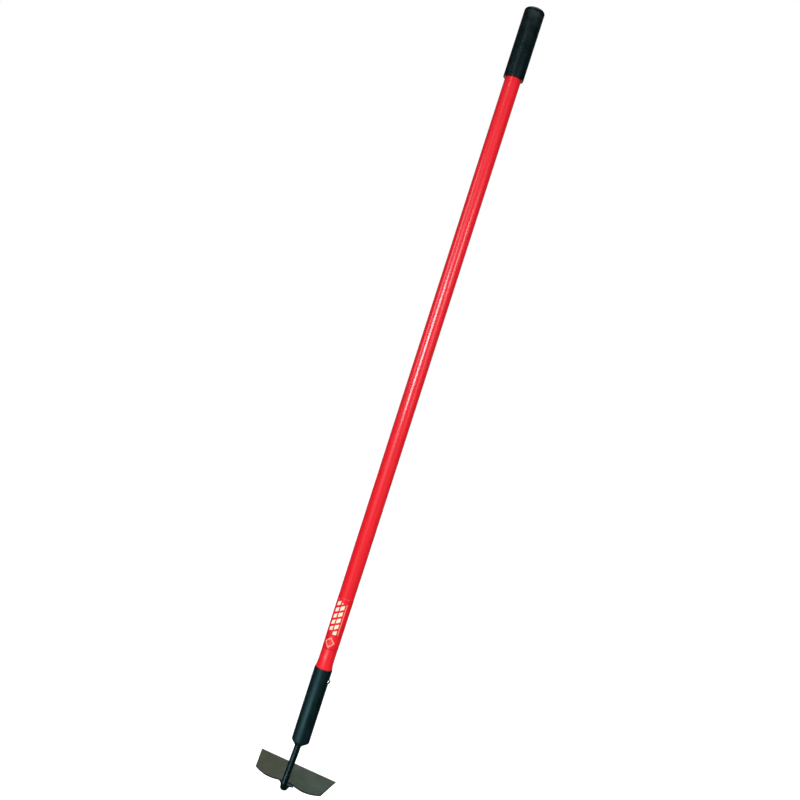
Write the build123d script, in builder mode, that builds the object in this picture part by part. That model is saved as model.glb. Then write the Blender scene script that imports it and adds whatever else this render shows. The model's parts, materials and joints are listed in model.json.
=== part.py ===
from build123d import *
import os
from math import cos, pi, radians, sin, tan

# A plate hoe: a flat steel blade welded to a bent rod, which stands in a riveted tube ferrule on
# a fibreglass shaft with a slip-on grip. Nothing on it moves.
#
# Millimetres. The Z axis is the handle's axis, with the grip at the top, and the origin is the
# middle of the grip. The blade reaches out to +Y, and its width lies along X.

os.makedirs("parts", exist_ok=True)

# Grip: a closed rubber sleeve pushed over the end of the shaft.
grip_diameter = 40.0
grip_length = 139.0
grip_end_wall = 6.0
grip_end_radius = 5.0
grip_rim_radius = 1.0
groove_count = 4
groove_spacing = 8.0
groove_depth = 0.8
groove_section_radius = 1.4
groove_band_middle = -5.0

# Shaft: a fibreglass tube. It eases down to a waist above the ferrule, swells out to butt on
# the ferrule's mouth, and goes on inside the ferrule as a spigot.
shaft_diameter = 31.75
shaft_bore = 24.0
butt_to_mouth = 1328.0
taper_height = 218.0
waist_height = 21.0
waist_diameter = 30.3
flare_diameter = 33.4
spigot_diameter = 31.6
spigot_length = 118.0

# Core plug: a dowel in the lower end of the shaft, for the rivet to bear on.
plug_clearance = 0.1
plug_length = 100.0
plug_chamfer = 1.0

# Label: a thin film round the front of the shaft.
label_thickness = 0.15
label_bottom = 40.0
label_length = 102.0
label_wrap = 210.0

# Ferrule: a steel tube, closed in at the bottom to a nose around the neck rod.
ferrule_diameter = 35.0
ferrule_wall = 1.6
ferrule_length = 147.0
nose_length = 6.5
nose_offset = -5.0
nose_tip_diameter = 16.0
nose_corner_radius = 3.0

# Rivet: a dome head on the +X side and a tail peened into a flush countersink on the -X side.
rivet_below_mouth = 21.5
rivet_shank_diameter = 4.8
rivet_head_diameter = 8.5
rivet_head_height = 2.8
rivet_head_rim = 0.4
rivet_head_sink = 0.7
rivet_tail_diameter = 7.2
rivet_tail_depth = 1.4
rivet_tail_proud = 0.3
rivet_hole_clearance = 0.1

# Neck: a round rod that leans back from the handle's axis and turns under the blade.
rod_diameter = 12.7
rod_hole_clearance = 0.1
rod_inside_ferrule = 20.0
rod_lean = 10.0
neck_bend_radius = 12.0
rod_seat_depth = 0.5
bend_width = 14.4
bend_depth = 11.6
tongue_width = 20.0
tongue_depth = 6.5
tongue_corner_radius = 2.6
tongue_taper_length = 16.0
tongue_flat_length = 12.0

# Blade: 12 gauge plate, tilted so that the cutting edge rises towards the grip.
blade_thickness = 2.66
blade_tilt = 23.7
blade_edge_width = 164.4
blade_shoulder_width = 141.4
blade_depth = 45.8
shoulder_from_axis = 2.4
shoulder_below_rim = 82.3
lobe_offset = 38.0
lobe_drop = 9.5
shoulder_arc_offset = 57.0
shoulder_arc_drop = 6.2
centre_dip = 4.2
bevel_width = 3.2
bevel_depth = 1.5

# Weld beads.
ring_bead_radius = 1.8
ring_bead_offset = 1.0
ring_bead_below_tip = 0.3
weld_top = 0.4
weld_height = 6.0
weld_slope = 24.0
weld_leg = 3.6
weld_plan_radius = 2.0
toe_half_width = 17.0
toe_tip = 7.6
toe_root_half_width = 9.5
toe_lap = 10.6
toe_length = 3.0

# Heights along the handle, from the middle of the grip.
grip_top = grip_length / 2
grip_rim = -grip_length / 2
shaft_top = grip_top - grip_end_wall
mouth_z = grip_top - butt_to_mouth
rim_z = mouth_z - ferrule_length
nose_tip_z = rim_z - nose_length
spigot_end = mouth_z - spigot_length

grip_radius = grip_diameter / 2
shaft_radius = shaft_diameter / 2
waist_radius = waist_diameter / 2
flare_radius = flare_diameter / 2
spigot_radius = spigot_diameter / 2
bore_radius = shaft_bore / 2
ferrule_radius = ferrule_diameter / 2
ferrule_bore_radius = ferrule_radius - ferrule_wall
nose_tip_radius = nose_tip_diameter / 2
rod_radius = rod_diameter / 2

rivet_z = mouth_z - rivet_below_mouth
rivet_shank_radius = rivet_shank_diameter / 2
rivet_hole_radius = rivet_shank_radius + rivet_hole_clearance
rivet_tail_radius = rivet_tail_diameter / 2

# The blade's own plane: its origin is the middle of the line between the shoulder corners,
# halfway through the plate. Local Y runs to the cutting edge, local Z to the grip's side.
tilt = radians(blade_tilt)
along_blade = Vector(0, cos(tilt), sin(tilt))
blade_normal = Vector(0, -sin(tilt), cos(tilt))
shoulder_middle = Vector(0, shoulder_from_axis, rim_z - shoulder_below_rim)
blade_plane = Plane(origin=shoulder_middle, x_dir=(1, 0, 0), z_dir=blade_normal)

# The rod's straight run leans back from the handle's axis, through the middle of the nose's tip.
lean = radians(rod_lean)
nose_tip_middle = Vector(0, nose_offset, nose_tip_z)
along_rod = Vector(0, -sin(lean), -cos(lean))
rod_plane = Plane(origin=nose_tip_middle, x_dir=(1, 0, 0), z_dir=along_rod)

# ---------------------------------------------------------------- grip
with BuildPart() as grip:
    with BuildSketch(Plane.XZ):
        with BuildLine():
            Polyline(
                (shaft_radius, grip_rim),
                (grip_radius, grip_rim),
                (grip_radius, grip_top),
                (0, grip_top),
                (0, shaft_top),
                (shaft_radius, shaft_top),
                (shaft_radius, grip_rim),
            )
        make_face()
        groove_x = grip_radius + groove_section_radius - groove_depth
        lowest_groove = groove_band_middle - groove_spacing * (groove_count - 1) / 2
        for i in range(groove_count):
            with Locations((groove_x, lowest_groove + i * groove_spacing)):
                Circle(groove_section_radius, mode=Mode.SUBTRACT)
    revolve(axis=Axis.Z)
    outer_edges = grip.edges().filter_by(GeomType.CIRCLE).filter_by(
        lambda edge: abs(edge.radius - grip_radius) < 0.01
    )
    fillet(outer_edges.sort_by(Axis.Z)[-1], radius=grip_end_radius)
    fillet(grip.edges().group_by(Axis.Z)[0].sort_by(SortBy.LENGTH)[-1], radius=grip_rim_radius)

grip.part.label = "grip"
export_step(grip.part, "parts/grip.step")


# ---------------------------------------------------------------- shaft
def taper_line(height):
    """Shaft radius at a height above the ferrule's mouth, between the waist and full size."""
    share = (height - waist_height) / (taper_height - waist_height)
    return waist_radius + (shaft_radius - waist_radius) * share


def rivet_hole():
    """Cut the rivet's hole right through the current part, along X."""
    with Locations((0, 0, rivet_z)):
        Cylinder(rivet_hole_radius, 2 * ferrule_diameter, rotation=(0, 90, 0), mode=Mode.SUBTRACT)


with BuildPart() as shaft:
    with BuildSketch(Plane.XZ):
        with BuildLine():
            Polyline(
                (bore_radius, shaft_top),
                (shaft_radius, shaft_top),
                (shaft_radius, mouth_z + taper_height),
                (waist_radius, mouth_z + waist_height),
            )
            TangentArc(
                (waist_radius, mouth_z + waist_height),
                (flare_radius, mouth_z),
                tangent=(0, -1),
            )
            Polyline(
                (flare_radius, mouth_z),
                (spigot_radius, mouth_z),
                (spigot_radius, spigot_end),
                (bore_radius, spigot_end),
                (bore_radius, shaft_top),
            )
        make_face()
    revolve(axis=Axis.Z)
    rivet_hole()

shaft.part.label = "shaft"
export_step(shaft.part, "parts/shaft.step")

# ---------------------------------------------------------------- core plug
with BuildPart() as core_plug:
    with BuildSketch(Plane.XY.offset(spigot_end)):
        Circle(bore_radius - plug_clearance)
    extrude(amount=plug_length)
    chamfer(core_plug.edges().filter_by(GeomType.CIRCLE), length=plug_chamfer)
    rivet_hole()

core_plug.part.label = "core_plug"
export_step(core_plug.part, "parts/core_plug.step")

# ---------------------------------------------------------------- label
# The film lies on the tapered stretch of the shaft and is centred on the side away from the
# blade. Its section is turned to where the wrap begins, and revolved from there.
label_low = mouth_z + label_bottom
label_high = label_low + label_length
label_low_radius = taper_line(label_bottom)
label_high_radius = taper_line(label_bottom + label_length)
wrap_start = -90.0 - label_wrap / 2
label_section = Plane.XZ.rotated((0, 0, wrap_start))

with BuildPart() as label:
    with BuildSketch(label_section):
        with BuildLine():
            Polyline(
                (label_low_radius, label_low),
                (label_low_radius + label_thickness, label_low),
                (label_high_radius + label_thickness, label_high),
                (label_high_radius, label_high),
                close=True,
            )
        make_face()
    revolve(axis=Axis.Z, revolution_arc=label_wrap)

label.part.label = "label"
export_step(label.part, "parts/label.step")

# ---------------------------------------------------------------- ferrule
# The nose is swaged off centre, towards the side away from the blade, where the rod comes out.
with BuildPart() as ferrule:
    with BuildSketch(Plane.XY.offset(rim_z)):
        Circle(ferrule_radius)
    extrude(amount=ferrule_length)
    with BuildSketch(Plane.XY.offset(rim_z)):
        Circle(ferrule_radius)
    with BuildSketch(Plane.XY.offset(nose_tip_z)):
        with Locations((0, nose_offset)):
            Circle(nose_tip_radius)
    loft()
    rim_edges = ferrule.edges().filter_by(GeomType.CIRCLE).filter_by_position(Axis.Z, rim_z - 1, rim_z + 1)
    fillet(rim_edges, radius=nose_corner_radius)
    with BuildSketch(Plane.XY.offset(rim_z)):
        Circle(ferrule_bore_radius)
    extrude(amount=ferrule_length, mode=Mode.SUBTRACT)
    with BuildSketch(Plane.XY.offset(rim_z)):
        Circle(ferrule_bore_radius)
    with BuildSketch(Plane.XY.offset(nose_tip_z + ferrule_wall)):
        with Locations((0, nose_offset)):
            Circle(nose_tip_radius - ferrule_wall)
    loft(mode=Mode.SUBTRACT)
    with BuildSketch(rod_plane):
        Circle(rod_radius + rod_hole_clearance)
    extrude(amount=nose_length, both=True, mode=Mode.SUBTRACT)
    rivet_hole()
    with Locations((-ferrule_radius + rivet_tail_depth / 2, 0, rivet_z)):
        Cone(
            rivet_tail_radius,
            rivet_shank_radius,
            rivet_tail_depth,
            rotation=(0, 90, 0),
            mode=Mode.SUBTRACT,
        )

ferrule.part.label = "ferrule"
export_step(ferrule.part, "parts/ferrule.step")

# ---------------------------------------------------------------- rivet
# The head's underside is hollowed to sit on the round ferrule.
rivet_axis = Axis((0, 0, rivet_z), (1, 0, 0))
rivet_section = Plane(origin=(0, 0, rivet_z), x_dir=(1, 0, 0), z_dir=(0, -1, 0))
head_radius = rivet_head_diameter / 2
head_base_x = ferrule_radius - rivet_head_sink
head_rim_x = ferrule_radius + rivet_head_rim
tail_end_x = -ferrule_radius - rivet_tail_proud

with BuildPart() as rivet:
    with BuildSketch(rivet_section):
        with BuildLine():
            Polyline(
                (head_rim_x + rivet_head_height, 0),
                (tail_end_x, 0),
                (tail_end_x, rivet_tail_radius),
                (-ferrule_radius, rivet_tail_radius),
                (-ferrule_radius + rivet_tail_depth, rivet_shank_radius),
                (head_base_x, rivet_shank_radius),
                (head_base_x, head_radius),
                (head_rim_x, head_radius),
            )
            EllipticalCenterArc((head_rim_x, 0), rivet_head_height, head_radius, arc_size=90)
        make_face()
    revolve(axis=rivet_axis)
    add(ferrule.part, mode=Mode.SUBTRACT)

rivet.part.label = "rivet"
export_step(rivet.part, "parts/rivet.step")

# ---------------------------------------------------------------- blade
half_edge = blade_edge_width / 2
half_shoulder = blade_shoulder_width / 2

with BuildPart() as blade:
    with BuildSketch(blade_plane):
        with BuildLine():
            Polyline(
                (half_shoulder, 0),
                (half_edge, blade_depth),
                (-half_edge, blade_depth),
                (-half_shoulder, 0),
            )
            for side in (1, -1):
                shoulder_arc = ThreePointArc(
                    (side * half_shoulder, 0),
                    (side * shoulder_arc_offset, -shoulder_arc_drop),
                    (side * lobe_offset, -lobe_drop),
                )
                Spline(
                    (side * lobe_offset, -lobe_drop),
                    (0, -centre_dip),
                    tangents=[shoulder_arc % 1, (-side, 0)],
                )
        make_face()
    extrude(amount=blade_thickness / 2, both=True)
    inner_face = blade.faces().sort_by(Axis((0, 0, 0), blade_normal))[-1]
    cutting_edge = inner_face.edges().sort_by(Axis((0, 0, 0), along_blade))[-1]
    chamfer(cutting_edge, length=bevel_width, length2=bevel_depth, reference=inner_face)

blade.part.label = "blade"
export_step(blade.part, "parts/blade.step")

# ---------------------------------------------------------------- neck rod
# The path lies in the YZ plane: a straight run from inside the ferrule, a bend, and a run that
# is parallel to the blade, below the plate. There the rod is hammered out to a flat tongue.
seat_drop = blade_thickness / 2 + bend_depth / 2 - rod_seat_depth
tongue_drop = blade_thickness / 2 + tongue_depth / 2
run_line = shoulder_middle - blade_normal * seat_drop
turn = pi / 2 + lean + tilt
# The distance along the straight run at which it meets the line of the run under the blade.
to_corner = (run_line - nose_tip_middle).dot(blade_normal) / along_rod.dot(blade_normal)
corner = nose_tip_middle + along_rod * to_corner
bend_setback = neck_bend_radius * tan(turn / 2)
bend_start = corner - along_rod * bend_setback
bend_end = corner + along_blade * bend_setback
bend_middle = corner + (along_blade - along_rod).normalized() * neck_bend_radius * (
    1 / cos(turn / 2) - 1
)
rod_top = nose_tip_middle - along_rod * (nose_length + rod_inside_ferrule)
tongue_start = bend_end + along_blade * tongue_taper_length + blade_normal * (seat_drop - tongue_drop)


def across(middle, direction):
    """A plane across the rod, with the blade's width as its X."""
    return Plane(origin=middle, x_dir=(1, 0, 0), z_dir=direction)


with BuildPart() as neck_rod:
    with BuildSketch(across(rod_top, along_rod)):
        Circle(rod_radius)
    extrude(amount=(bend_start - rod_top).length)
    with BuildLine(Plane.YZ):
        ThreePointArc(
            (bend_start.Y, bend_start.Z),
            (bend_middle.Y, bend_middle.Z),
            (bend_end.Y, bend_end.Z),
        )
    with BuildSketch(across(bend_start, along_rod)):
        Circle(rod_radius)
    with BuildSketch(across(bend_end, along_blade)):
        Ellipse(bend_width / 2, bend_depth / 2)
    sweep(multisection=True)
    with BuildSketch(across(bend_end, along_blade)):
        Ellipse(bend_width / 2, bend_depth / 2)
    with BuildSketch(across(tongue_start, along_blade)):
        RectangleRounded(tongue_width, tongue_depth, tongue_corner_radius)
    loft()
    with BuildSketch(across(tongue_start, along_blade)):
        RectangleRounded(tongue_width, tongue_depth, tongue_corner_radius)
    extrude(amount=tongue_flat_length)
    add(blade.part, mode=Mode.SUBTRACT)

neck_rod.part.label = "neck_rod"
export_step(neck_rod.part, "parts/neck_rod.step")

# ---------------------------------------------------------------- ferrule weld
# A ring of weld where the rod leaves the nose.
with BuildPart() as ferrule_weld:
    with BuildSketch(Plane(origin=nose_tip_middle, x_dir=along_rod, z_dir=(1, 0, 0))):
        with Locations((ring_bead_below_tip, rod_radius + ring_bead_offset)):
            Circle(ring_bead_radius)
    revolve(axis=Axis(nose_tip_middle, along_rod))
    add(ferrule.part, mode=Mode.SUBTRACT)
    add(neck_rod.part, mode=Mode.SUBTRACT)

ferrule_weld.part.label = "ferrule_weld"
export_step(ferrule_weld.part, "parts/ferrule_weld.step")


# ---------------------------------------------------------------- blade weld
# One bead goes round the tongue on the plate's outer face. At the plate's rear edge it spreads
# to both sides of the rod and laps over the edge. Y is counted from the shoulder corners
# towards the grip's side of the plane, so the rear edge has positive Y here.
weld_plane = Plane(
    origin=shoulder_middle + blade_normal * weld_top,
    x_dir=(1, 0, 0),
    z_dir=-blade_normal,
)
tongue_end = tongue_start + along_blade * tongue_flat_length
weld_end = (tongue_end - shoulder_middle).dot(along_blade) + weld_leg
weld_half_width = tongue_width / 2 + weld_leg

with BuildPart() as blade_weld:
    with BuildSketch(weld_plane):
        with BuildLine():
            Polyline(
                (toe_half_width, toe_tip),
                (toe_root_half_width, toe_lap),
                (-toe_root_half_width, toe_lap),
                (-toe_half_width, toe_tip),
                (-weld_half_width, -toe_length),
                (-weld_half_width, -weld_end),
                (weld_half_width, -weld_end),
                (weld_half_width, -toe_length),
                close=True,
            )
        make_face()
        fillet(vertices(), radius=weld_plan_radius)
    extrude(amount=weld_height, taper=weld_slope)
    add(blade.part, mode=Mode.SUBTRACT)
    add(neck_rod.part, mode=Mode.SUBTRACT)

blade_weld.part.label = "blade_weld"
export_step(blade_weld.part, "parts/blade_weld.step")
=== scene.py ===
import json
import random
from math import cos, pi, radians, sin, sqrt, tan

import bmesh
import bpy
from mathutils import Matrix, Vector, noise
from mathutils.bvhtree import BVHTree


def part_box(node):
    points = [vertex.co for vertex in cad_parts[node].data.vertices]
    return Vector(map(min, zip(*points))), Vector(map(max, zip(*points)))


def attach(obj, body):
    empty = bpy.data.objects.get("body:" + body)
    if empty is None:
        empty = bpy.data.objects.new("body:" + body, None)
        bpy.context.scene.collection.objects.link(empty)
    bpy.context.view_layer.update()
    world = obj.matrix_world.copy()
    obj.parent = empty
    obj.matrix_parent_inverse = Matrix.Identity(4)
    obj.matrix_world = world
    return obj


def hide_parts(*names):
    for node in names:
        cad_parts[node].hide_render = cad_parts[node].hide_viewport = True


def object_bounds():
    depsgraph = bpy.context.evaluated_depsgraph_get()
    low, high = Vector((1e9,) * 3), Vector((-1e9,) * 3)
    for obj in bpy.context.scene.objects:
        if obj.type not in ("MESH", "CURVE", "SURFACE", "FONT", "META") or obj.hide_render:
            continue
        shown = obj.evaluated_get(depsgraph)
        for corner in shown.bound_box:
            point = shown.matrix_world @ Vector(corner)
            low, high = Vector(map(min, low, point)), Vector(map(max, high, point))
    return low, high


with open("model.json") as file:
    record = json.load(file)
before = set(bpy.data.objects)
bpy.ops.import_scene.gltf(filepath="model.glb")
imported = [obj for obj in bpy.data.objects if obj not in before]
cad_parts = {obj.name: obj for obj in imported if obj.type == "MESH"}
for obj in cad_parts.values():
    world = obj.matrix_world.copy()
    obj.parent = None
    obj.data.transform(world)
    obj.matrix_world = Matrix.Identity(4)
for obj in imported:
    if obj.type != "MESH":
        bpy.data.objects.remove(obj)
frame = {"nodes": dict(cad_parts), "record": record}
cad_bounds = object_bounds()

# ---------------------------------------------------------------- shaft
# A pultruded fibreglass tube: glass fibres laid lengthwise in red resin, with a glossy outer
# coat. Its lower end is drawn in to a waist and swells out again to butt on the ferrule's
# mouth, and a spigot goes on inside the ferrule.
mouth_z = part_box("ferrule")[1].z
shaft_low, shaft_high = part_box("shaft")
shaft_radius = next(m for m in frame["record"]["mounts"] if m["name"] == "shaft")["dims"]["r_mm"] / 1000
flare_radius = shaft_high.x
bore_radius = 0.0120
spigot_radius = 0.0158
taper_height = 0.218
waist_height = 0.021
waist_radius = 0.01515
flare_steps = 10
span_steps = 24
round_steps = 128
arc_steps = 8
dark_band_start = 0.0004
dark_band_end = 0.0022


def rounded(*corners):
    """Points (radius, height) of an outline. A corner's third number is its rounding."""
    points = []
    for i, (radius, height, rounding) in enumerate(corners):
        corner = Vector((radius, 0, height))
        if not rounding:
            points.append(corner)
            continue
        before = Vector((corners[i - 1][0], 0, corners[i - 1][1])) - corner
        after = Vector((corners[i + 1][0], 0, corners[i + 1][1])) - corner
        half_angle = before.angle(after) / 2
        middle = (before.normalized() + after.normalized()).normalized()
        centre = corner + middle * rounding / sin(half_angle)
        start = corner + before.normalized() * rounding / tan(half_angle) - centre
        end = corner + after.normalized() * rounding / tan(half_angle) - centre
        turns = [start.slerp(end, step / arc_steps).normalized() for step in range(arc_steps + 1)]
        points += [centre + turn * rounding for turn in turns]
    return [(point.x, point.z) for point in points]


def turned(outline, closed=True, steps=round_steps):
    """A mesh spun round the Z axis from an outline. An open outline ends on the axis."""
    bm = bmesh.new()
    corners = [bm.verts.new((radius, 0, height)) for radius, height in outline]
    following = corners[1:] + corners[:1] if closed else corners[1:]
    edges = [bm.edges.new(pair) for pair in zip(corners, following)]
    bmesh.ops.spin(
        bm, geom=corners + edges, axis=(0, 0, 1), cent=(0, 0, 0), angle=2 * pi, steps=steps,
        use_merge=True,
    )
    bmesh.ops.remove_doubles(bm, verts=bm.verts, dist=1e-6)
    bmesh.ops.recalc_face_normals(bm, faces=bm.faces)
    return bm


def shown(name, bm, finish, crease=40):
    """A mesh object in the scene, smooth except where it turns by more than the crease angle."""
    mesh = bpy.data.meshes.new(name)
    bm.to_mesh(mesh)
    bm.free()
    mesh.materials.append(finish)
    mesh.shade_smooth()
    mesh.set_sharp_from_angle(angle=radians(crease))
    piece = bpy.data.objects.new(name, mesh)
    bpy.context.scene.collection.objects.link(piece)
    return piece


def colour(red, green, blue):
    """A colour named as a screen shows it, 0 to 255 a channel, in the shader's linear values."""
    shares = [channel / 255 for channel in (red, green, blue)]
    return *[s / 12.92 if s <= 0.04045 else ((s + 0.055) / 1.055) ** 2.4 for s in shares], 1.0


def add(tree, kind, inputs=(), **settings):
    """A shader node, with its inputs set to values or linked to other nodes' sockets."""
    made = tree.nodes.new("ShaderNode" + kind)
    for key, value in settings.items():
        setattr(made, key, value)
    for key, value in dict(inputs).items():
        if isinstance(value, bpy.types.NodeSocket):
            tree.links.new(value, made.inputs[key])
        else:
            made.inputs[key].default_value = value
    return made


def finish_named(name, **uniform):
    """A material and its shader. Uniform values go on the shader's own sockets."""
    material = bpy.data.materials.new(name)
    material.use_nodes = True
    shader = material.node_tree.nodes["Principled BSDF"]
    for key, value in uniform.items():
        shader.inputs[key.replace("_", " ").title()].default_value = value
    return material, material.node_tree, shader


def grain(tree, scale, squeeze=(1, 1, 1), detail=4.0, seed=(0, 0, 0)):
    """Noise over the piece, 0 to 1. Scale counts features to a metre, and squeeze scales each axis."""
    place = add(tree, "TexCoord").outputs["Object"]
    moved = add(tree, "Mapping", {"Vector": place, "Scale": squeeze, "Location": seed})
    inputs = {"Vector": moved.outputs[0], "Scale": scale, "Detail": detail}
    return add(tree, "TexNoise", inputs).outputs[0]


def height_in(tree):
    """The height along the handle, in metres."""
    place = add(tree, "TexCoord").outputs["Object"]
    return add(tree, "SeparateXYZ", {0: place}).outputs["Z"]


def ramp(tree, value, start, end, low=0.0, high=1.0):
    """Low up to start, high from end on, and smooth between them."""
    inputs = {0: value, 1: start, 2: end, 3: low, 4: high}
    return add(tree, "MapRange", inputs, interpolation_type="SMOOTHSTEP").outputs[0]


def maths(tree, operation, first, second=0.0):
    """One arithmetic step."""
    return add(tree, "Math", {0: first, 1: second}, operation=operation).outputs[0]


def laid_over(tree, under, over, share):
    """One colour laid over another where share is 1."""
    inputs = {0: share, 6: under, 7: over}
    return add(tree, "Mix", inputs, data_type="RGBA").outputs[2]


def relief(tree, shader, *layers):
    """Bumps on the surface. Each layer is a height from 0 to 1, and its depth in metres."""
    normal = None
    for height, depth in layers:
        inputs = {"Height": height, "Distance": depth, "Strength": 1.0}
        if normal:
            inputs["Normal"] = normal
        normal = add(tree, "Bump", inputs).outputs[0]
    tree.links.new(normal, shader.inputs["Normal"])


taper_z = mouth_z + taper_height
waist_z = mouth_z + waist_height
flare_width = flare_radius - waist_radius
flare_sweep = (waist_height**2 + flare_width**2) / (2 * flare_width)

shaft_outline = [(bore_radius, shaft_high.z), (shaft_radius, shaft_high.z)]
for step in range(1, span_steps + 1):
    height = shaft_high.z + (taper_z - shaft_high.z) * step / span_steps
    shaft_outline.append((shaft_radius, height))
for step in range(flare_steps + 1):
    drop = waist_height * step / flare_steps
    swell = flare_sweep - sqrt(flare_sweep**2 - drop**2)
    shaft_outline.append((waist_radius + swell, waist_z - drop))
shaft_outline += [
    (spigot_radius, mouth_z),
    (spigot_radius, shaft_low.z),
    (bore_radius, shaft_low.z),
]

resin, tree, shader = finish_named("red_resin", coat_weight=1.0, coat_roughness=0.12)
fibres = grain(tree, 1100, squeeze=(1, 1, 0.012), detail=3)
clouds = grain(tree, 45, squeeze=(1, 1, 0.25), detail=3)
scuffs = ramp(tree, grain(tree, 520, squeeze=(1, 1, 0.06), detail=8, seed=(3, 1, 4)), 0.60, 0.72)
body = laid_over(tree, colour(230, 8, 26), colour(245, 18, 36), ramp(tree, fibres, 0.3, 0.7))
body = laid_over(tree, body, colour(246, 56, 68), ramp(tree, clouds, 0.45, 0.85, 0, 0.20))
body = laid_over(tree, body, colour(250, 120, 120), maths(tree, "MULTIPLY", scuffs, 0.08))
# Darker in a thin band just above the ferrule's mouth.
mouth_darkening = ramp(tree, height_in(tree), mouth_z + dark_band_start, mouth_z + dark_band_end, 0.75, 0.0)
body = laid_over(tree, body, colour(60, 10, 14), mouth_darkening)
tree.links.new(body, shader.inputs["Base Color"])
tree.links.new(ramp(tree, scuffs, 0, 1, 0.32, 0.5), shader.inputs["Roughness"])
relief(tree, shader, (fibres, 0.00002), (clouds, 0.0001), (scuffs, 0.00001))

shaft = shown("shaft_tube", turned(shaft_outline), resin)
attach(shaft, "root")
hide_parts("shaft")

# ---------------------------------------------------------------- core plug
# A turned hardwood dowel, driven into the shaft's lower end for the rivet to bear on. It is bare
# wood, and nothing of it shows on a whole hoe.
wood, tree, shader = finish_named("bare_dowel", roughness=0.72)
rings = grain(tree, 160, squeeze=(1, 0.35, 0.02), detail=3)
pores = grain(tree, 1500, squeeze=(1, 1, 0.03), detail=6)
heartwood = laid_over(tree, colour(198, 158, 108), colour(160, 116, 72), ramp(tree, rings, 0.35, 0.65))
heartwood = laid_over(tree, heartwood, colour(112, 76, 44), ramp(tree, pores, 0.58, 0.75, 0, 0.6))
tree.links.new(heartwood, shader.inputs["Base Color"])
relief(tree, shader, (pores, 0.0001))
plug_slots = frame["nodes"]["core_plug"].data.materials
plug_slots.clear()
plug_slots.append(wood)

# ---------------------------------------------------------------- label
# A thin printed film stuck round the shaft above the waist, centred on the side away from the
# blade. Its print is a plain mark: two rows of slanted bars, a thin rule and an open diamond.
label_low, label_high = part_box("label")
label_wrap = radians(210)
label_thickness = 0.00015
label_lift = 0.00002
label_steps = 84
label_rows = 40
label_length = label_high.z - label_low.z
bar_width = 0.0072
bar_run = 0.062
bar_pitch = 0.0125
bar_share = 0.62
bar_lean = -0.55
left_row = -0.0065
left_start = 0.036
right_row = 0.0035
right_start = 0.030
rule_middle = 0.0105
rule_width = 0.0014
diamond_aside = -0.0005
diamond_height = 0.0135
diamond_inside = 0.0072
diamond_outside = 0.0104


def taper_radius(height):
    """The shaft's radius at a height between the waist and its full size."""
    share = (height - waist_z) / (taper_z - waist_z)
    return waist_radius + (shaft_radius - waist_radius) * share


bm = bmesh.new()
side = []
for row in range(label_rows + 1):
    height = label_low.z + label_length * row / label_rows
    side.append(bm.verts.new((taper_radius(height) + label_lift, 0, height)))
seam = [bm.edges.new(pair) for pair in zip(side, side[1:])]
bmesh.ops.rotate(
    bm, verts=bm.verts, cent=(0, 0, 0), matrix=Matrix.Rotation(-pi / 2 - label_wrap / 2, 3, "Z")
)
bmesh.ops.spin(
    bm, geom=side + seam, axis=(0, 0, 1), cent=(0, 0, 0), angle=label_wrap, steps=label_steps
)
bmesh.ops.remove_doubles(bm, verts=bm.verts, dist=1e-6)
print_map = bm.loops.layers.uv.new("print")
facing = Vector((0, -1, 0))
for face in bm.faces:
    for corner in face.loops:
        flat = corner.vert.co.copy()
        flat.z = 0
        around = facing.angle(flat) * (1 if flat.x > 0 else -1) * flat.length
        corner[print_map].uv = (around, corner.vert.co.z - label_low.z)
bm.normal_update()
no_height = Vector((1, 1, 0))
inward = [face for face in bm.faces if face.normal.dot(face.calc_center_median() * no_height) < 0]
bmesh.ops.reverse_faces(bm, faces=inward)

film, tree, shader = finish_named("printed_film", roughness=0.34, coat_weight=0.25, coat_roughness=0.2)
spread = add(tree, "SeparateXYZ", {0: add(tree, "UVMap", uv_map="print").outputs[0]})
around, along = spread.outputs["X"], spread.outputs["Y"]


def between(value, start, end, soft=0.00015):
    """1 where the value lies between start and end, with a soft edge, and 0 elsewhere."""
    rising = ramp(tree, value, start - soft, start + soft)
    falling = ramp(tree, value, end - soft, end + soft, 1.0, 0.0)
    return maths(tree, "MULTIPLY", rising, falling)


def barred(row_middle, start):
    """A row of slanted bars along the handle."""
    lean = maths(tree, "MULTIPLY", around, bar_lean)
    place = maths(tree, "DIVIDE", maths(tree, "ADD", along, lean), bar_pitch)
    wave = maths(tree, "FRACT", place)
    bars = between(wave, 0.5 - bar_share / 2, 0.5 + bar_share / 2, soft=0.03)
    row = between(around, row_middle - bar_width / 2, row_middle + bar_width / 2)
    run = between(along, start, start + bar_run)
    return maths(tree, "MULTIPLY", maths(tree, "MULTIPLY", bars, row), run)


mark = maths(tree, "MAXIMUM", barred(left_row, left_start), barred(right_row, right_start))
rule_side = between(around, rule_middle - rule_width / 2, rule_middle + rule_width / 2)
rule = maths(tree, "MULTIPLY", rule_side, between(along, right_start, right_start + bar_run))
off_middle = maths(tree, "ABSOLUTE", maths(tree, "SUBTRACT", around, diamond_aside))
off_height = maths(tree, "ABSOLUTE", maths(tree, "SUBTRACT", along, diamond_height))
diamond = between(maths(tree, "ADD", off_middle, off_height), diamond_inside, diamond_outside)
ink = ramp(tree, grain(tree, 900, detail=5), 0.30, 0.42)
plain_film = laid_over(
    tree, colour(222, 9, 25), colour(240, 17, 35), ramp(tree, grain(tree, 70, detail=3), 0.3, 0.7)
)
printed = laid_over(tree, plain_film, colour(250, 236, 206), maths(tree, "MULTIPLY", mark, ink))
faded = maths(tree, "MULTIPLY", maths(tree, "MAXIMUM", rule, diamond), 0.62)
printed = laid_over(tree, printed, colour(252, 196, 160), maths(tree, "MULTIPLY", faded, ink))
tree.links.new(printed, shader.inputs["Base Color"])
relief(tree, shader, (grain(tree, 260, detail=2), 0.00010), (mark, 0.00002))

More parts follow.
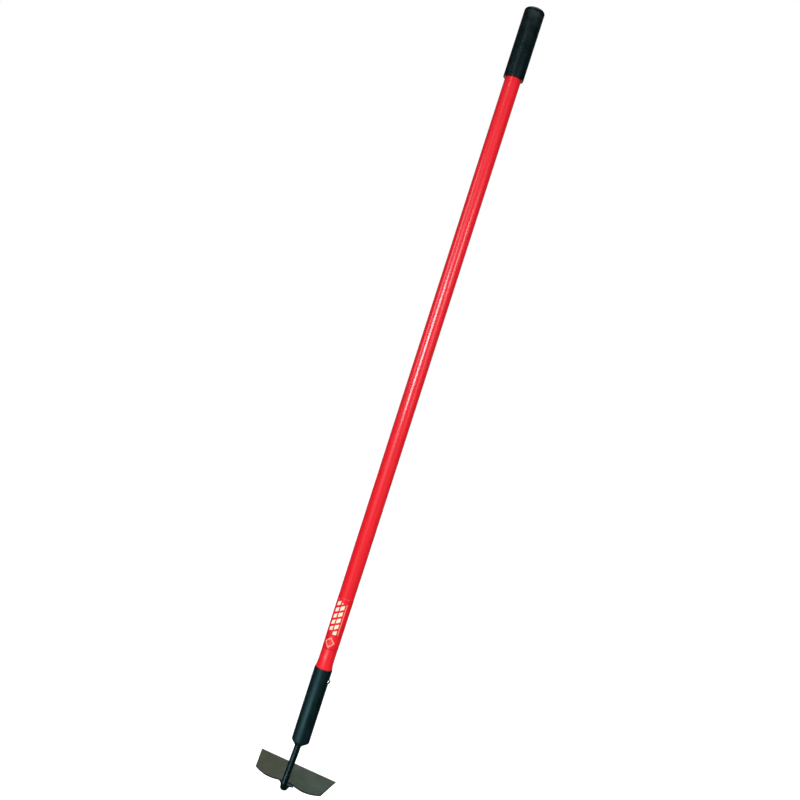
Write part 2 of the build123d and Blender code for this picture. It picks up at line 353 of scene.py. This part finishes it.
label = shown("label_film", bm, film)
sheet = label.modifiers.new("thickness", "SOLIDIFY")
sheet.thickness = label_thickness
sheet.offset = 1.0
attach(label, "root")
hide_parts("label")

# ---------------------------------------------------------------- ferrule
# A drawn steel tube with an enamel coat, swaged in at the bottom to an off-centre nose where the
# neck goes in. The shaft's spigot fills it, and the rivet goes through both.
ferrule_low, ferrule_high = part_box("ferrule")
ferrule_radius = ferrule_high.x
ferrule_wall = 0.0016
nose_length = 0.0065
nose_offset = -0.0050
nose_tip_radius = 0.0080
nose_corner = 0.0030
mouth_rounding = 0.0005
rim_z = ferrule_low.z + nose_length
inner_radius = ferrule_radius - ferrule_wall

bm = turned(rounded(
    (inner_radius, mouth_z, 0),
    (ferrule_radius, mouth_z, mouth_rounding),
    (ferrule_radius, rim_z, nose_corner),
    (nose_tip_radius, ferrule_low.z, mouth_rounding),
    (nose_tip_radius - ferrule_wall, ferrule_low.z, 0),
    (nose_tip_radius - ferrule_wall, ferrule_low.z + ferrule_wall, 0),
    (inner_radius, rim_z, 0),
))
for vertex in bm.verts:
    if vertex.co.z < rim_z:
        vertex.co.y += nose_offset * (rim_z - vertex.co.z) / nose_length

enamel, tree, shader = finish_named(
    "black_enamel", specular_tint=colour(168, 250, 255), coat_weight=0.05, coat_roughness=0.2
)
peel = grain(tree, 1400, detail=2)
cloud = grain(tree, 75, squeeze=(1, 1, 0.5), detail=4)
chipped = ramp(tree, grain(tree, 620, detail=7, seed=(5, 2, 0)), 0.69, 0.73)
dust = ramp(tree, grain(tree, 210, detail=8, seed=(1, 7, 2)), 0.55, 0.80, 0, 0.22)
coat = laid_over(tree, colour(4, 15, 17), colour(9, 26, 29), ramp(tree, cloud, 0.35, 0.7))
coat = laid_over(tree, coat, colour(44, 56, 54), dust)
coat = laid_over(tree, coat, colour(96, 92, 84), chipped)
tree.links.new(coat, shader.inputs["Base Color"])
tree.links.new(ramp(tree, cloud, 0.3, 0.75, 0.36, 0.48), shader.inputs["Roughness"])
tree.links.new(maths(tree, "MULTIPLY", chipped, 0.7), shader.inputs["Metallic"])
relief(tree, shader, (peel, 0.00005), (cloud, 0.00025))

ferrule = shown("ferrule_tube", bm, enamel)
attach(ferrule, "root")
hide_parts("ferrule")

# ---------------------------------------------------------------- rivet
# One zinc-plated steel rivet through the ferrule, the spigot and the plug. Its dome head stands
# on the +X side, and its tail is peened into a countersink on the other.
rivet_low, rivet_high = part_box("rivet")
rivet_z = (rivet_low.z + rivet_high.z) / 2
head_radius = (rivet_high.z - rivet_low.z) / 2
head_sink = 0.0007
head_rim_height = 0.0004
head_base = ferrule_radius - head_sink
head_rim = ferrule_radius + head_rim_height
head_height = rivet_high.x - head_rim
shank_radius = 0.0024
tail_radius = 0.0036
tail_depth = 0.0014
dome_steps = 12
rivet_steps = 48

dome = []
for step in range(dome_steps):
    climb = pi / 2 * step / dome_steps
    dome.append((head_radius * cos(climb), head_rim + head_height * sin(climb)))
rivet_outline = [(0, rivet_high.x)] + dome[::-1] + [
    (head_radius, head_base),
    (shank_radius, head_base),
    (shank_radius, -ferrule_radius + tail_depth),
    (tail_radius, -ferrule_radius),
    (tail_radius, rivet_low.x),
    (0, rivet_low.x),
]
bm = turned(rivet_outline, closed=False, steps=rivet_steps)
bmesh.ops.rotate(bm, verts=bm.verts, cent=(0, 0, 0), matrix=Matrix.Rotation(pi / 2, 3, "Y"))
bmesh.ops.translate(bm, verts=bm.verts, vec=(0, 0, rivet_z))

zinc, tree, shader = finish_named("zinc_plate", metallic=1.0)
dents = grain(tree, 900, detail=4)
tarnish = ramp(tree, grain(tree, 500, detail=6, seed=(2, 0, 9)), 0.45, 0.7)
plating = laid_over(tree, colour(226, 226, 228), colour(168, 166, 160), tarnish)
tree.links.new(plating, shader.inputs["Base Color"])
tree.links.new(ramp(tree, tarnish, 0, 1, 0.24, 0.45), shader.inputs["Roughness"])
relief(tree, shader, (dents, 0.00015))

rivet = shown("rivet_pin", bm, zinc)
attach(rivet, "root")
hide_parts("rivet")

# ---------------------------------------------------------------- blade
# A sheared steel plate with rounded lobes at the back and a bevel ground along the cutting edge.
# It has a dull oiled mill finish, browner on the bevel and darker along its rim, and a painted
# reflection makes it browner towards -X and greener towards +X.
edge_rounding = 0.00025
grid_step = 0.0025
reflection_reach = 0.085
rim_raggedness = 0.0016
rim_dark_to = 0.0016
rim_fades_by = 0.0030
bevel_brown_to = 0.0030
bevel_fades_by = 0.0036


def merged_copy(node):
    """The node's own mesh, its loose triangles joined into one shell."""
    bm = bmesh.new()
    bm.from_mesh(frame["nodes"][node].data)
    bmesh.ops.remove_doubles(bm, verts=bm.verts, dist=1e-6)
    return bm


bm = merged_copy("blade")
bmesh.ops.dissolve_limit(bm, angle_limit=radians(1), verts=bm.verts, edges=bm.edges)
bm.faces.ensure_lookup_table()
plate_face = max((f for f in bm.faces if f.normal.z > 0), key=lambda face: face.calc_area())
blade_normal = plate_face.normal.copy()
across = Vector((1, 0, 0))
along_blade = blade_normal.cross(across).normalized()
if along_blade.y < 0:
    along_blade = -along_blade

sheared = bm.copy()
flats = [face for face in sheared.faces if abs(face.normal.dot(blade_normal)) > 0.5]
bmesh.ops.delete(sheared, geom=flats, context="FACES")
sheared_sides = BVHTree.FromBMesh(sheared)
sheared.free()

corners = [edge for edge in bm.edges if edge.calc_face_angle(0) > radians(20)]
bmesh.ops.bevel(
    bm, geom=corners, offset=edge_rounding, segments=2, profile=0.5, affect="EDGES", material=-1
)
blade_low, blade_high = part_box("blade")
blade_back = min(vertex.co.dot(along_blade) for vertex in bm.verts)
blade_front = max(vertex.co.dot(along_blade) for vertex in bm.verts)
cuts = [(across, blade_low.x + grid_step * i) for i in range(1, int(2 * blade_high.x / grid_step) + 1)]
cuts += [
    (along_blade, blade_back + grid_step * i)
    for i in range(1, int((blade_front - blade_back) / grid_step) + 1)
]
for direction, distance in cuts:
    everything = bm.verts[:] + bm.edges[:] + bm.faces[:]
    bmesh.ops.bisect_plane(bm, geom=everything, plane_co=direction * distance, plane_no=direction)
rim_distance = bm.verts.layers.float.new("rim_distance")
for vertex in bm.verts:
    vertex[rim_distance] = sheared_sides.find_nearest(vertex.co)[3]
plate_map = bm.loops.layers.uv.new("plate")
for face in bm.faces:
    for corner in face.loops:
        place = corner.vert.co
        corner[plate_map].uv = (place.x, blade_front - place.dot(along_blade))

steel, tree, shader = finish_named("oiled_steel", coat_weight=0.10, coat_roughness=0.35)
from_rim = add(tree, "Attribute", attribute_name="rim_distance").outputs["Fac"]
plate = add(tree, "SeparateXYZ", {0: add(tree, "UVMap", uv_map="plate").outputs[0]})
sideways, from_edge = plate.outputs["X"], plate.outputs["Y"]
mill = grain(tree, 1300, squeeze=(0.05, 1, 1), detail=5)
film_of_oil = grain(tree, 38, detail=5)
speckle = grain(tree, 1500, detail=6, seed=(4, 4, 1))
haze = grain(tree, 130, detail=6, seed=(7, 0, 5))
# Darker along the plate's rim, with a ragged inner edge.
ragged = maths(tree, "MULTIPLY", grain(tree, 700, detail=6), rim_raggedness)
rim_darkening = ramp(tree, maths(tree, "ADD", from_rim, ragged), rim_dark_to, rim_fades_by, 1.0, 0.0)
ground = ramp(tree, from_edge, bevel_brown_to, bevel_fades_by, 1.0, 0.0)
# Painted reflection: browner towards -X, greener towards +X.
painted_reflection_across = ramp(tree, sideways, -reflection_reach, reflection_reach)
body = laid_over(tree, colour(38, 43, 17), colour(31, 55, 44), painted_reflection_across)
body = laid_over(tree, body, colour(52, 60, 38), ramp(tree, film_of_oil, 0.4, 0.75, 0, 0.5))
body = laid_over(tree, body, colour(26, 35, 30), ramp(tree, mill, 0.42, 0.68, 0, 0.45))
body = laid_over(tree, body, colour(70, 52, 32), ramp(tree, haze, 0.48, 0.72, 0, 0.18))
body = laid_over(tree, body, colour(26, 28, 22), ramp(tree, speckle, 0.62, 0.74, 0, 0.5))
body = laid_over(tree, body, colour(66, 50, 36), maths(tree, "MULTIPLY", ground, 0.7))
body = laid_over(tree, body, colour(14, 12, 9), maths(tree, "MULTIPLY", rim_darkening, 0.9))
tree.links.new(body, shader.inputs["Base Color"])
tree.links.new(ramp(tree, film_of_oil, 0.3, 0.7, 0.42, 0.6), shader.inputs["Roughness"])
tree.links.new(ramp(tree, mill, 0.3, 0.7, 0.35, 0.55), shader.inputs["Metallic"])
relief(tree, shader, (mill, 0.00006), (film_of_oil, 0.0003), (speckle, 0.00004))

blade = shown("blade_plate", bm, steel, crease=25)
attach(blade, "root")
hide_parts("blade")

# ---------------------------------------------------------------- neck
# A round steel rod, forged hot: bent under the blade and hammered out to a flat tongue, so its
# lower half is dented all over. It wears a thin black enamel over its forge scale, rubbed on the
# high spots. The enamel is darker than the ferrule's: partly black paint, partly painted shade.
neck_cell = 0.0006
hammer_from = ferrule_low.z - 0.020
hammer_full = ferrule_low.z - 0.045
hammer_depth = 0.00045
hammer_marks = 210
scale_depth = 0.00012
scale_flakes = 900
scale_on_top = 0.25
dent_bias = 0.3


def remeshed(bm, cell, smoothing):
    """The same shape as one closed shell of even small faces, slightly smoothed."""
    mesh = bpy.data.meshes.new("rough")
    bm.to_mesh(mesh)
    bm.free()
    rough = bpy.data.objects.new("rough", mesh)
    bpy.context.scene.collection.objects.link(rough)
    shell = rough.modifiers.new("shell", "REMESH")
    shell.mode = "VOXEL"
    shell.voxel_size = cell
    even = bpy.data.meshes.new_from_object(
        rough.evaluated_get(bpy.context.evaluated_depsgraph_get())
    )
    bpy.data.objects.remove(rough)
    bm = bmesh.new()
    bm.from_mesh(even)
    for _ in range(smoothing):
        bmesh.ops.smooth_vert(
            bm, verts=bm.verts, factor=0.5, use_axis_x=True, use_axis_y=True, use_axis_z=True
        )
    bmesh.ops.recalc_face_normals(bm, faces=bm.faces)
    bm.normal_update()
    return bm


bm = remeshed(merged_copy("neck_rod"), neck_cell, smoothing=2)
for vertex in bm.verts:
    place = vertex.co
    share = min(1, max(0, (hammer_from - place.z) / (hammer_from - hammer_full)))
    dents = noise.noise(place * hammer_marks) * hammer_depth * share
    scale = noise.noise(place * scale_flakes) * scale_depth * (scale_on_top + share)
    vertex.co = place + vertex.normal * (dents + scale - hammer_depth * share * dent_bias)

black_with_painted_shade, tree, shader = finish_named("black_enamel_with_painted_shade", specular_tint=colour(190, 250, 255))
scale_marks = grain(tree, 420, detail=6, seed=(2, 6, 1))
worn_high = ramp(tree, grain(tree, 260, detail=7, seed=(6, 1, 3)), 0.60, 0.74, 0, 0.35)
# Painted shade: these blacks are darker than the ferrule enamel's to stand for shade on the neck.
coat = laid_over(tree, colour(1, 4, 4), colour(4, 12, 12), ramp(tree, scale_marks, 0.35, 0.7))
coat = laid_over(tree, coat, colour(60, 66, 62), worn_high)
tree.links.new(coat, shader.inputs["Base Color"])
tree.links.new(ramp(tree, scale_marks, 0.3, 0.7, 0.20, 0.36), shader.inputs["Roughness"])
relief(tree, shader, (scale_marks, 0.0001))

neck = shown("neck_forging", bm, black_with_painted_shade, crease=60)
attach(neck, "root")
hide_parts("neck_rod")

# ---------------------------------------------------------------- ferrule weld
# A ring of weld where the neck leaves the nose, laid in short overlapping drops and enamelled
# black with the neck, the black darkened by painted shade as on the neck.
neck_lean = radians(10)
neck_radius = 0.00635
drop_count = 34
drop_radius = 0.0014
drop_flatness = 0.75
drop_wander = 0.10
drop_spread = 0.08
ring_below_nose = 0.0003
ring_off_neck = 0.0005
bead_cell = 0.0003
dice = random.Random(11)


def drops(bm, places, radius):
    """Weld drops: small flattened balls along a line, each a little out of place."""
    for place, direction in places:
        turn_to = direction.to_track_quat("Z", "Y").to_matrix().to_4x4()
        jitter = Vector([dice.uniform(-1, 1) for _ in range(3)]) * radius * drop_wander
        size = radius * dice.uniform(1 - drop_spread, 1 + drop_spread)
        shape = Matrix.Translation(place + jitter) @ turn_to
        shape = shape @ Matrix.Diagonal((size, size, size * drop_flatness, 1))
        bmesh.ops.create_uvsphere(bm, u_segments=16, v_segments=10, radius=1, matrix=shape)


along_neck = Vector((0, -sin(neck_lean), -cos(neck_lean)))
beside_neck = across.cross(along_neck)
ring_middle = Vector((0, nose_offset, ferrule_low.z)) + along_neck * ring_below_nose
ring_places = []
for i in range(drop_count):
    angle = 2 * pi * i / drop_count
    outward = across * cos(angle) + beside_neck * sin(angle)
    ahead = beside_neck * cos(angle) - across * sin(angle)
    ring_places.append((ring_middle + outward * (neck_radius + ring_off_neck), ahead))

bm = bmesh.new()
drops(bm, ring_places, drop_radius)
ring = shown("ferrule_bead", remeshed(bm, bead_cell, smoothing=1), black_with_painted_shade, crease=80)
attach(ring, "root")
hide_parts("ferrule_weld")

# ---------------------------------------------------------------- blade weld
# The weld that holds the blade: one bead round the tongue under the plate, ending in a thick toe
# on each side of the neck at the plate's back edge. It is built up in drops, then enamelled
# black, the black darkened by painted shade as on the neck.
weld_drop = 0.0024
weld_step = 0.0019
weld_inset = 0.0016
weld_half = 0.0136
weld_rise = 0.0035
toe_inset = 0.0030
toe_ahead = 0.0036
toe_length = 0.0125
blade_bead_cell = 0.00045
ripple_depth = 0.0005
ripples = 330
ripple_bias = 0.7

bm = merged_copy("blade_weld")
weld_points = [vertex.co for vertex in bm.verts]
weld_back = min(place.dot(along_blade) for place in weld_points)
weld_front = max(place.dot(along_blade) for place in weld_points)
toe_half = max(place.x for place in weld_points)
under_plate = min(place.dot(blade_normal) for place in weld_points)
right_side = [
    (toe_half - toe_inset, weld_back + toe_ahead),
    (weld_half - weld_inset, weld_back + toe_length),
    (weld_half - weld_inset, weld_front - weld_inset),
]
weld_line = right_side + [(-x, y) for x, y in reversed(right_side)]
weld_depth = under_plate + weld_rise
weld_places = []
for (x, y), (next_x, next_y) in zip(weld_line, weld_line[1:]):
    start = across * x + along_blade * y + blade_normal * weld_depth
    run = across * next_x + along_blade * next_y + blade_normal * weld_depth - start
    count = max(1, round(run.length / weld_step))
    weld_places += [(start + run * i / count, run.normalized()) for i in range(count)]
drops(bm, weld_places, weld_drop)

bm = remeshed(bm, blade_bead_cell, smoothing=1)
for vertex in bm.verts:
    swell = noise.noise(vertex.co * ripples) * ripple_depth
    vertex.co += vertex.normal * (swell - ripple_depth * ripple_bias)

bead = shown("blade_bead", bm, black_with_painted_shade, crease=80)
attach(bead, "root")
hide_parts("blade_weld")

# ---------------------------------------------------------------- grip
# A moulded rubber sleeve, closed and rounded at the end, pushed over the shaft. Four shallow
# rings run round its middle, and a faint ring near its end marks where the mould parts.
grip_low, grip_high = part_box("grip")
grip_radius = grip_high.x
end_rounding = 0.0050
rim_rounding = 0.0010
groove_count = 4
groove_spacing = 0.0080
groove_depth = 0.0008
groove_section = 0.0014
groove_middle = -0.0050
groove_steps = 6
groove_margin = 0.001
parting_below_end = 0.0095
parting_depth = 0.00025
parting_half = 0.0005

groove_axis = grip_radius + groove_section - groove_depth
groove_reach = (groove_section**2 - (groove_section - groove_depth) ** 2) ** 0.5
grooves = []
for i in range(groove_count):
    height = groove_middle + (i - (groove_count - 1) / 2) * groove_spacing
    for step in range(-groove_steps, groove_steps + 1):
        rise = groove_reach * step / groove_steps
        grooves.append((groove_axis - sqrt(groove_section**2 - rise**2), height + rise))
parting_z = grip_high.z - parting_below_end
sleeve_outline = rounded(
    (shaft_radius, grip_low.z, 0),
    (grip_radius, grip_low.z, rim_rounding),
    (grip_radius, grooves[0][1] - groove_margin, 0),
)
sleeve_outline += grooves
sleeve_outline += [
    (grip_radius, parting_z - parting_half),
    (grip_radius - parting_depth, parting_z),
    (grip_radius, parting_z + parting_half),
]
sleeve_outline += rounded(
    (grip_radius, parting_z + groove_margin, 0),
    (grip_radius, grip_high.z, end_rounding),
    (0, grip_high.z, 0),
)
sleeve_outline += [(0, shaft_high.z), (shaft_radius, shaft_high.z), (shaft_radius, grip_low.z)]

rubber, tree, shader = finish_named("grip_rubber", specular_tint=colour(212, 255, 250))
shader.inputs["Specular IOR Level"].default_value = 0.40
place = add(tree, "TexCoord").outputs["Object"]
pebble = add(tree, "TexVoronoi", {"Vector": place, "Scale": 1500}).outputs[0]
handled = grain(tree, 60, detail=5)
lint = ramp(tree, grain(tree, 420, detail=8, seed=(8, 3, 3)), 0.62, 0.78, 0, 0.10)
skin = laid_over(tree, colour(3, 13, 16), colour(7, 20, 23), ramp(tree, handled, 0.35, 0.7))
skin = laid_over(tree, skin, colour(52, 66, 64), lint)
tree.links.new(skin, shader.inputs["Base Color"])
tree.links.new(ramp(tree, handled, 0.3, 0.7, 0.28, 0.40), shader.inputs["Roughness"])
relief(tree, shader, (pebble, 0.00006), (handled, 0.0003))

grip = shown("grip_sleeve", turned(sleeve_outline, closed=False), rubber)
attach(grip, "root")
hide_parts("grip")

# ---------------------------------------------------------------- floor
# A plain white studio floor, well below the hoe, which hangs by its grip. The hoe's gloss doesn't
# mirror it, and it throws no light up.
floor_gap = 0.60
floor_size = 60.0

bm = bmesh.new()
bmesh.ops.create_grid(bm, x_segments=4, y_segments=4, size=floor_size / 2)
bmesh.ops.translate(bm, verts=bm.verts, vec=(0, 0, cad_bounds[0].z - floor_gap))
paper, tree, shader = finish_named("studio_floor", roughness=0.9)
fibre = ramp(tree, grain(tree, 12, detail=4), 0.3, 0.7)
white = laid_over(tree, colour(250, 250, 250), colour(255, 255, 255), fibre)
tree.links.new(white, shader.inputs["Base Color"])
floor = shown("floor", bm, paper)
floor.visible_glossy = False
floor.visible_diffuse = False

# ---------------------------------------------------------------- camera
# It stands level with the middle of the hoe, a little to the right of straight in front, and is
# rolled so that the hoe leans.
camera_azimuth = radians(15.7)
camera_roll = radians(17.84)
camera_distance = 1.7318
aim_above_rim = 0.6822
aim_aside = -0.0182
camera_lens = 40.5
sensor_width = 36.0

to_camera = Vector((sin(camera_azimuth), -cos(camera_azimuth), 0))
aside = Vector((cos(camera_azimuth), sin(camera_azimuth), 0))
overhead = Vector((0, 0, 1))
camera_right = aside * cos(camera_roll) + overhead * sin(camera_roll)
camera_up = overhead * cos(camera_roll) - aside * sin(camera_roll)
aim = overhead * (rim_z + aim_above_rim) + aside * aim_aside
lens = bpy.data.cameras.new("camera")
lens.lens = camera_lens
lens.sensor_width = sensor_width
camera = bpy.data.objects.new("camera", lens)
turn = Matrix((camera_right, camera_up, to_camera)).transposed().to_4x4()
camera.matrix_world = Matrix.Translation(aim + to_camera * camera_distance) @ turn
bpy.context.scene.collection.objects.link(camera)
bpy.context.scene.camera = camera

# ---------------------------------------------------------------- light
# A white room with dark sides. A bright softbox left of the camera draws the streak down the
# shaft, and the other boxes give the fainter bands on the shaft, grip, ferrule and neck. The
# fills light the right, the back and the underside and aren't mirrored in the gloss. A very soft
# sun straight overhead lights the floor.
mid_handle = -0.45
daylight = (0.84, 0.95, 1.0)


def softbox(name, ahead, sideways, height, length, width, power, facing=mid_handle, mirrored=True):
    """A rectangular light that stands upright and faces the handle at a height."""
    lamp = bpy.data.lights.new(name, "AREA")
    lamp.shape = "RECTANGLE"
    lamp.size = length
    lamp.size_y = width
    lamp.energy = power
    lamp.color = daylight
    box = bpy.data.objects.new(name, lamp)
    place = to_camera * ahead + aside * sideways + overhead * height
    back = (place - overhead * facing).normalized()
    along = (overhead - back * overhead.dot(back)).normalized()
    turn = Matrix((along, back.cross(along), back)).transposed().to_4x4()
    box.matrix_world = Matrix.Translation(place) @ turn
    box.visible_glossy = mirrored
    box.visible_camera = False
    bpy.context.scene.collection.objects.link(box)


# Each box's place is given as metres ahead of the handle, to its side and up, and its size as
# length by width, before its power.
softbox("streak_box", 2.4, -0.92, -0.43, 0.64, 0.95, 26)
softbox("upper_box", 2.4, 1.36, 0.04, 0.42, 0.60, 4.4)
softbox("left_box", 0.9, -2.2, -0.10, 1.0, 0.9, 6)
softbox("grip_box", 2.08, -1.20, 1.03, 0.42, 0.60, 2.4, facing=0)
softbox("ferrule_box", 0.58, -0.56, -1.72, 0.40, 0.85, 1.5, facing=-1.40)
softbox("neck_box", 0.74, -0.33, -1.56, 0.17, 0.46, 1.1, facing=-1.35)
softbox("right_box", 1.8, 1.6, -0.25, 1.1, 0.8, 3.5)
softbox("right_fill", 0.9, 2.6, -0.60, 2.4, 1.2, 18, mirrored=False)
softbox("back_fill", -2.1, 0.0, -0.50, 2.2, 0.7, 14, mirrored=False)
softbox("back_box", -2.1, 0.0, -1.35, 0.7, 0.4, 2.5)
softbox("under_fill", -0.7, 0.0, -1.95, 0.6, 0.6, 9.0, facing=-1.48, mirrored=False)

sunlight = bpy.data.lights.new("soft_sun", "SUN")
sunlight.energy = 2.4
sunlight.angle = radians(70)
bpy.context.scene.collection.objects.link(bpy.data.objects.new("soft_sun", sunlight))

world = bpy.data.worlds.new("white_room")
bpy.context.scene.world = world
world.use_nodes = True
tree = world.node_tree
toward = {0: add(tree, "TexCoord").outputs["Generated"], 1: to_camera}
room_side = add(tree, "VectorMath", toward, operation="DOT_PRODUCT").outputs["Value"]
room = ramp(tree, maths(tree, "ABSOLUTE", room_side), 0.1, 0.8, 0.15, 0.62)
rays = add(tree, "LightPath").outputs
room = maths(tree, "MULTIPLY", room, ramp(tree, rays["Is Glossy Ray"], 0, 1, 1.0, 0.12))
room = maths(tree, "MAXIMUM", room, rays["Is Camera Ray"])
tree.links.new(room, tree.nodes["Background"].inputs["Strength"])
tree.nodes["Background"].inputs["Color"].default_value = (1, 1, 1, 1)
bpy.context.scene.view_settings.view_transform = "Standard"
